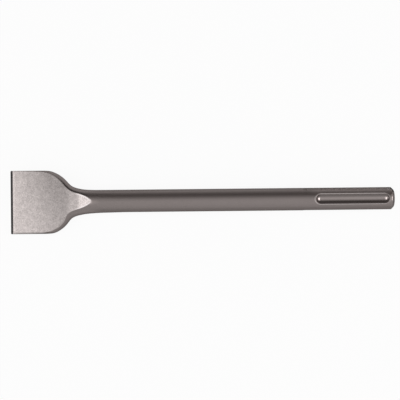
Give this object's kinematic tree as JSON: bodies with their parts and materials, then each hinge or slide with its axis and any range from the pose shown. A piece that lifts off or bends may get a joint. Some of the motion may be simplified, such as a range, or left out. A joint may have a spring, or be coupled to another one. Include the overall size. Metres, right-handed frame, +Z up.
{
  "type": "flat chisel",
  "caption": "Wide flat chisel for a rotary hammer: forged wedge blade with a ground edge on a long round shank whose plug-in end has closed lock grooves and open drive grooves.",
  "frame": {"origin": "centre of the resting footprint's bounding box, on the surface that the chisel lies on", "axes": "+X along the shank towards the struck plug-in end, the cutting edge is at -X; +Y across the blade; +Z up. The upper blade face leans 10.29 degrees towards -Y, because the chisel lies on its shank and its -Y blade side"},
  "size_m": [0.307, 0.0504, 0.0181],
  "materials": {
    "chisel": "shot-blasted grey forged steel, smooth shank, dark ground cutting edge"
  },
  "bodies": {
    "root": {"chisel": "chisel"}
  },
  "joints": []
}
